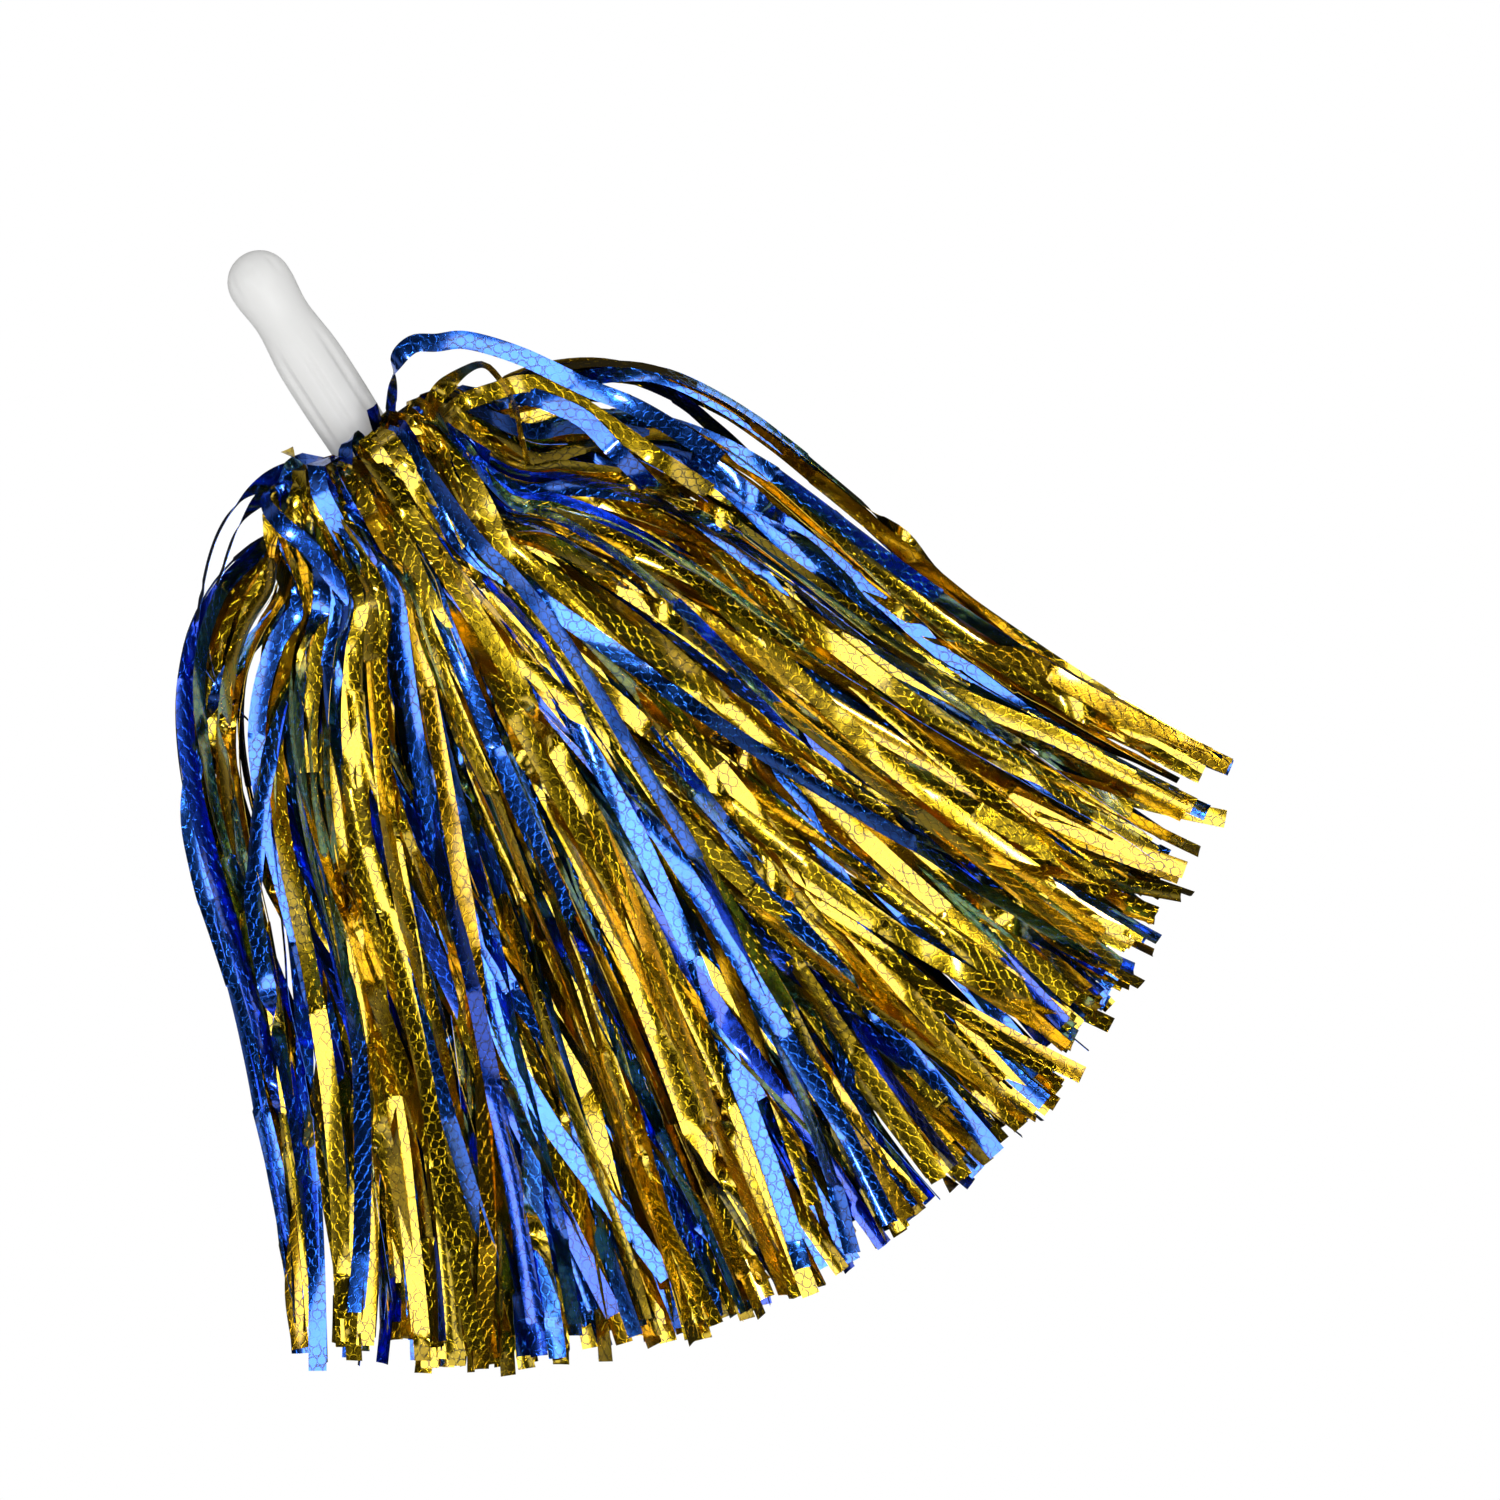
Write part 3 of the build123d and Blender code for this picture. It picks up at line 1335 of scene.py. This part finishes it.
@dataclass
class Grip:
    """The hollow handle: a turned outline with shallow lengthwise flutes."""

    collar_radius: float = 11.0 * MM
    palm_radius: float = 11.45 * MM
    heel_radius: float = 11.2 * MM
    neck_radius: float = 9.65 * MM
    bulb_radius: float = 10.9 * MM
    wall: float = 1.8 * MM
    flutes: int = 8
    flute_depth: float = 0.75 * MM
    hole_radius: float = 1.75 * MM
    hole_at: float = 7.3 * MM
    lip: float = 0.35 * MM
    rings: int = 150
    sectors: int = 144

    def radius(self, along: float) -> float:
        """The outside radius at a distance from the mouth.

        Args:
            along: The distance.

        Returns:
            The radius.
        """
        butt = GRIP_LENGTH - self.bulb_radius
        if along > butt:
            return math.sqrt(max(self.bulb_radius**2 - (along - butt) ** 2, 0.0))
        stations = (
            (0.0, self.collar_radius, 0.0),
            (12 * MM, self.collar_radius, 0.0),
            (34 * MM, self.palm_radius, 0.0),
            (50 * MM, self.heel_radius, -0.07),
            (64.6 * MM, self.neck_radius, 0.0),
            (butt, self.bulb_radius, 0.0),
        )
        index = min(sum(along >= at for at, _, _ in stations) - 1, len(stations) - 2)
        (low, low_radius, low_slope), (high, high_radius, high_slope) = stations[index : index + 2]
        gap = high - low
        t = (along - low) / gap
        ends = (2 * t**3 - 3 * t**2 + 1) * low_radius + (3 * t**2 - 2 * t**3) * high_radius
        return ends + gap * ((t**3 - 2 * t**2 + t) * low_slope + (t**3 - t**2) * high_slope)

    def flute(self, along: float, angle: float) -> float:
        """How deep the flutes are at a place on the outside.

        Args:
            along: Distance from the mouth.
            angle: Angle round the handle.

        Returns:
            The depth.
        """
        groove = max(math.cos(angle * self.flutes), 0.0) ** 1.6
        palm = smooth((along - 9 * MM) / (20 * MM)) * (1 - smooth((along - 42 * MM) / (18 * MM)))
        butt = smooth((along - 74 * MM) / (5 * MM)) * (1 - smooth((along - 82 * MM) / (4.5 * MM)))
        return groove * (self.flute_depth * palm + 0.35 * self.flute_depth * butt)

    def ring(self, along: float, radius: float, fluted: bool = False) -> list[tuple]:
        """One ring of points round the handle.

        Args:
            along: Distance from the mouth.
            radius: The ring's radius.
            fluted: Whether the flutes are cut into it.

        Returns:
            The ring's points.
        """
        points = []
        for number in range(self.sectors):
            angle = (number + 0.5) * math.tau / self.sectors
            reach = radius - (self.flute(along, angle) if fluted else 0.0)
            points.append((reach * math.cos(angle), along, reach * math.sin(angle)))
        return points

    def stations(self) -> np.ndarray:
        """Distances of the rings from the mouth, closer together towards the butt."""
        even = np.linspace(0.0, 1.0, self.rings)
        return GRIP_LENGTH * np.sin(even * math.pi / 2) ** 0.9

    def outside(self) -> list[list[tuple]]:
        """The outer wall's rings, from inside the lip to the butt."""
        lip = self.lip
        rings = [self.ring(0.0, self.radius(0.0) - self.wall + lip), self.ring(0.0, self.radius(0.0) - lip)]
        rings.append(self.ring(0.3 * lip, self.radius(0.3 * lip) - 0.3 * lip))
        for along in self.stations()[1:-1]:
            if along > lip:
                rings.append(self.ring(float(along), self.radius(along), True))
        return rings

    def inside(self) -> list[list[tuple]]:
        """The bore's rings, from the lip to its round end."""
        straight = GRIP_LENGTH - self.bulb_radius
        rings = []
        for along in self.stations()[::3]:
            if self.lip < along < straight:
                rings.append(self.ring(float(along), self.radius(along) - self.wall))
        end = self.bulb_radius - self.wall
        for turn in np.linspace(0.0, math.pi / 2, 14)[:-1]:
            rings.append(self.ring(straight + end * math.sin(turn), end * math.cos(turn)))
        return rings

    def shell(self) -> bpy.types.Object:
        """The closed hollow shell, without its cross hole.

        Returns:
            The shell, with its mouth at the origin.
        """
        outside, inside, count = self.outside(), self.inside(), self.sectors
        points = [point for ring in outside for point in ring] + [(0.0, GRIP_LENGTH, 0.0)]
        first, faces = len(points), []
        points += [point for ring in inside for point in ring] + [(0.0, GRIP_LENGTH - self.wall, 0.0)]
        for row in range(len(outside) - 1):
            faces += self.band(row * count, (row + 1) * count)
        for row in range(len(inside) - 1):
            faces += self.band(first + (row + 1) * count, first + row * count)
        faces += self.band(first, 0)
        low, tip = first - 1 - count, first - 1
        faces += [(low + n, low + (n + 1) % count, tip) for n in range(count)]
        low, tip = len(points) - 1 - count, len(points) - 1
        faces += [(low + (n + 1) % count, low + n, tip) for n in range(count)]
        mesh = bpy.data.meshes.new("grip_shell")
        mesh.from_pydata(points, [], faces)
        made = bpy.data.objects.new("grip_shell", mesh)
        bpy.context.collection.objects.link(made)
        return made

    def band(self, low: int, high: int) -> list[tuple]:
        """Quads between two rings.

        Args:
            low: First point of one ring.
            high: First point of the next.

        Returns:
            The quads.
        """
        count = self.sectors
        return [
            (low + n, low + (n + 1) % count, high + (n + 1) % count, high + n) for n in range(count)
        ]

    def drilled(self) -> bpy.types.Object:
        """The shell in its place, with the hole across its mouth cut through both walls.

        Returns:
            The shell.
        """
        made = self.shell()
        made.location = POINT
        bpy.ops.mesh.primitive_cylinder_add(
            vertices=48,
            radius=self.hole_radius,
            depth=4 * self.collar_radius,
            location=POINT + Vector((0, self.hole_at, 0)),
        )
        drill = bpy.context.object
        cut = made.modifiers.new("hole", "BOOLEAN")
        cut.operation, cut.solver, cut.object = "DIFFERENCE", "EXACT", drill
        bpy.context.view_layer.update()
        seen = made.evaluated_get(bpy.context.evaluated_depsgraph_get())
        solid = bpy.data.meshes.new_from_object(seen)
        made.modifiers.clear()
        made.data = solid
        bpy.data.objects.remove(drill)
        solid.transform(Matrix.Translation(POINT))
        made.location = (0, 0, 0)
        return made

    def build(self, material: bpy.types.Material) -> bpy.types.Object:
        """Make the handle and hang it on its body.

        Args:
            material: The plastic.

        Returns:
            The handle.
        """
        made = self.drilled()
        solid = made.data
        made.name = solid.name = "grip_handle"
        solid.shade_smooth()
        solid.set_sharp_from_angle(angle=math.radians(40))
        solid.materials.clear()
        solid.materials.append(material)
        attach(made, "handle")
        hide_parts("handle_grip")
        return made


# ---------------------------------------------------------------- the studio


@dataclass(frozen=True)
class Lamp:
    """One soft box that faces the object."""

    name: str
    place: tuple
    size: tuple
    watts: float

    def build(self) -> None:
        """Hang the lamp."""
        data = bpy.data.lights.new(self.name, "AREA")
        data.shape, data.energy = "RECTANGLE", self.watts
        data.size, data.size_y = self.size
        made = bpy.data.objects.new(self.name, data)
        made.location = self.place
        made.rotation_euler = (-Vector(self.place)).to_track_quat("-Z", "Y").to_euler()
        bpy.context.collection.objects.link(made)


LAMPS = (
    Lamp("key_box", (0.0, -0.30, 1.9), (1.2, 1.2), 15.5),
    Lamp("left_strip", (-1.6, -0.2, 0.9), (0.40, 1.6), 2.2),
    Lamp("right_strip", (1.6, -0.5, 0.8), (0.35, 1.5), 2.0),
    Lamp("front_strip", (0.1, -1.8, 0.7), (1.6, 0.30), 1.8),
    Lamp("back_strip", (0.0, 1.8, 1.0), (1.3, 0.35), 1.7),
    Lamp("left_spark", (-1.1, 0.9, 1.8), (0.14, 0.14), 3.4),
    Lamp("right_spark", (1.2, 0.1, 1.7), (0.14, 0.14), 3.2),
    Lamp("front_spark", (-0.3, -1.2, 1.7), (0.14, 0.14), 3.2),
)


@dataclass
class Studio:
    """A pale floor, soft lamps and the camera above the fan."""

    camera_height: float = 1.7
    frame_width: float = 0.5
    sensor: float = 36.0
    heading: float = math.radians(-32.75)
    offset: tuple = (121 * MM, -90 * MM)

    def floor(self) -> None:
        """A wide white floor, lit from below so that nothing darkens it, and black in mirrors."""
        bpy.ops.mesh.primitive_plane_add(size=12.0, location=(0, 0, -0.0002))
        made = bpy.context.object
        made.name = "floor"
        paint = bpy.data.materials.new("floor_paint")
        paint.use_nodes = True
        graph = Graph(paint.node_tree)
        matt = graph.signal("ShaderNodeBsdfDiffuse", None, {"Color": rgb(0.82, 0.82, 0.82)})
        glow = graph.signal("ShaderNodeEmission", None, {"Color": rgb(1, 1, 1), "Strength": 1.0})
        path = graph.node("ShaderNodeLightPath")
        mirrored = Signal(graph, path.outputs["Is Glossy Ray"])
        black = graph.signal("ShaderNodeBsdfDiffuse", None, {"Color": rgb(0.02, 0.02, 0.02)})
        hidden = graph.signal("ShaderNodeMixShader", None, {0: mirrored, 1: matt, 2: black})
        seen = Signal(graph, path.outputs["Is Camera Ray"])
        mixed = graph.signal("ShaderNodeMixShader", None, {0: seen, 1: hidden, 2: glow})
        graph.node("ShaderNodeOutputMaterial", None, {0: mixed})
        made.data.materials.append(paint)

    def world(self) -> None:
        """White for what is seen and lit straight, and a dim room with a pale ceiling for mirrors."""
        room = bpy.data.worlds.new("room")
        room.use_nodes = True
        graph = Graph(room.node_tree)
        way = graph.signal("ShaderNodeTexCoord", None, None, "Generated")
        split = graph.node("ShaderNodeSeparateXYZ", None, {0: way})
        up = Signal(graph, split.outputs[2])
        ceiling = up.step(0.88, 0.985)
        walls = up.step(-0.05, 0.05) * (1 - up.step(0.22, 0.42))
        dim = graph.blend(ceiling + walls, rgb(0.001, 0.001, 0.001), rgb(0.27, 0.27, 0.28))
        path = graph.node("ShaderNodeLightPath")
        mirrored = Signal(graph, path.outputs["Is Glossy Ray"])
        lit = graph.blend(mirrored, rgb(0.62, 0.62, 0.62), dim)
        seen = Signal(graph, path.outputs["Is Camera Ray"])
        shade = graph.blend(seen, lit, rgb(1, 1, 1))
        sky = graph.signal("ShaderNodeBackground", None, {"Color": shade, "Strength": 1.0})
        graph.node("ShaderNodeOutputWorld", None, {0: sky})
        bpy.context.scene.world = room

    def camera(self) -> None:
        """The camera, high above the object and looking straight down."""
        up = Vector((-math.sin(self.heading), math.cos(self.heading), 0.0))
        right = Vector((up.y, -up.x, 0.0))
        target = POINT + right * self.offset[0] + up * self.offset[1]
        data = bpy.data.cameras.new("camera")
        data.sensor_width = self.sensor
        data.lens = self.sensor * self.camera_height / self.frame_width
        made = bpy.data.objects.new("camera", data)
        back = Vector((0.0, 0.0, 1.0))
        made.matrix_world = Matrix(
            (
                (right.x, up.x, back.x, target.x),
                (right.y, up.y, back.y, target.y),
                (right.z, up.z, back.z, self.camera_height + target.z),
                (0, 0, 0, 1),
            )
        )
        bpy.context.collection.objects.link(made)
        bpy.context.scene.camera = made

    def build(self) -> None:
        """Set up floor, room, lamps, camera and the picture's tone."""
        self.floor()
        self.world()
        for lamp in LAMPS:
            lamp.build()
        self.camera()
        bpy.context.scene.view_settings.view_transform = "Standard"


# ---------------------------------------------------------------- assembly


@dataclass
class Hardware:
    """The pieces inside the mouth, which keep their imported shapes."""

    def dress(self) -> None:
        """Give the pin, the wire and the rolled headers their finishes."""
        finishes = {
            # The pin's steel is given a near-black colour: painted shade for the recess round the pin's
            # end.
            "retaining_pin": DrawnSteel("pin_steel", rgb(0.10, 0.10, 0.105), 0.45),
            "tie_wire": DrawnSteel("wire_steel", rgb(0.55, 0.55, 0.56)),
            "gold_header": RolledFoil("rolled_gold", rgb(0.85, 0.58, 0.06), rgb(0.30, 0.16, 0.01)),
            "blue_header": RolledFoil("rolled_blue", rgb(0.05, 0.18, 0.85), rgb(0.01, 0.03, 0.25)),
        }
        for node, finish in finishes.items():
            mesh = frame["nodes"][node].data
            mesh.materials.clear()
            mesh.materials.append(finish.material())
            LOG.info("dressed %s with %s", node, finish.name)


# The third colour of each foil is its darker odd tint: partly strip-to-strip tint, partly painted shade for
# the heap's inside.
FOILS = {
    Foil.GOLD: EmbossedFoil(
        "gold_foil", rgb(0.70, 0.50, 0.014), rgb(0.64, 0.41, 0.010), rgb(0.60, 0.35, 0.010)
    ),
    Foil.BLUE: EmbossedFoil(
        "blue_foil", rgb(0.035, 0.20, 0.82), rgb(0.012, 0.09, 0.62), rgb(0.012, 0.05, 0.50)
    ),
}


def main() -> None:
    """Build the pom pom's looks, piece by piece."""
    logging.basicConfig(level=logging.INFO, format="%(message)s")
    Studio().build()
    foils = {foil: finish.material() for foil, finish in FOILS.items()}
    Grip().build(SatinPlastic("handle_plastic", rgb(0.70, 0.70, 0.69)).material())
    LOG.info("built the handle")
    Hardware().dress()
    fan = Fan()
    for layer in Layer:
        for column in Column:
            for foil in Foil:
                tuft = Tuft(fan, layer, column, foil)
                made = tuft.build(foils[foil])
                LOG.info("built %s on %s", made.name, tuft.body)
    for foil in Foil:
        made = MouthSpray(foil, fan).build(foils[foil])
        LOG.info("built %s", made.name)


if __name__ == "__main__":
    main()
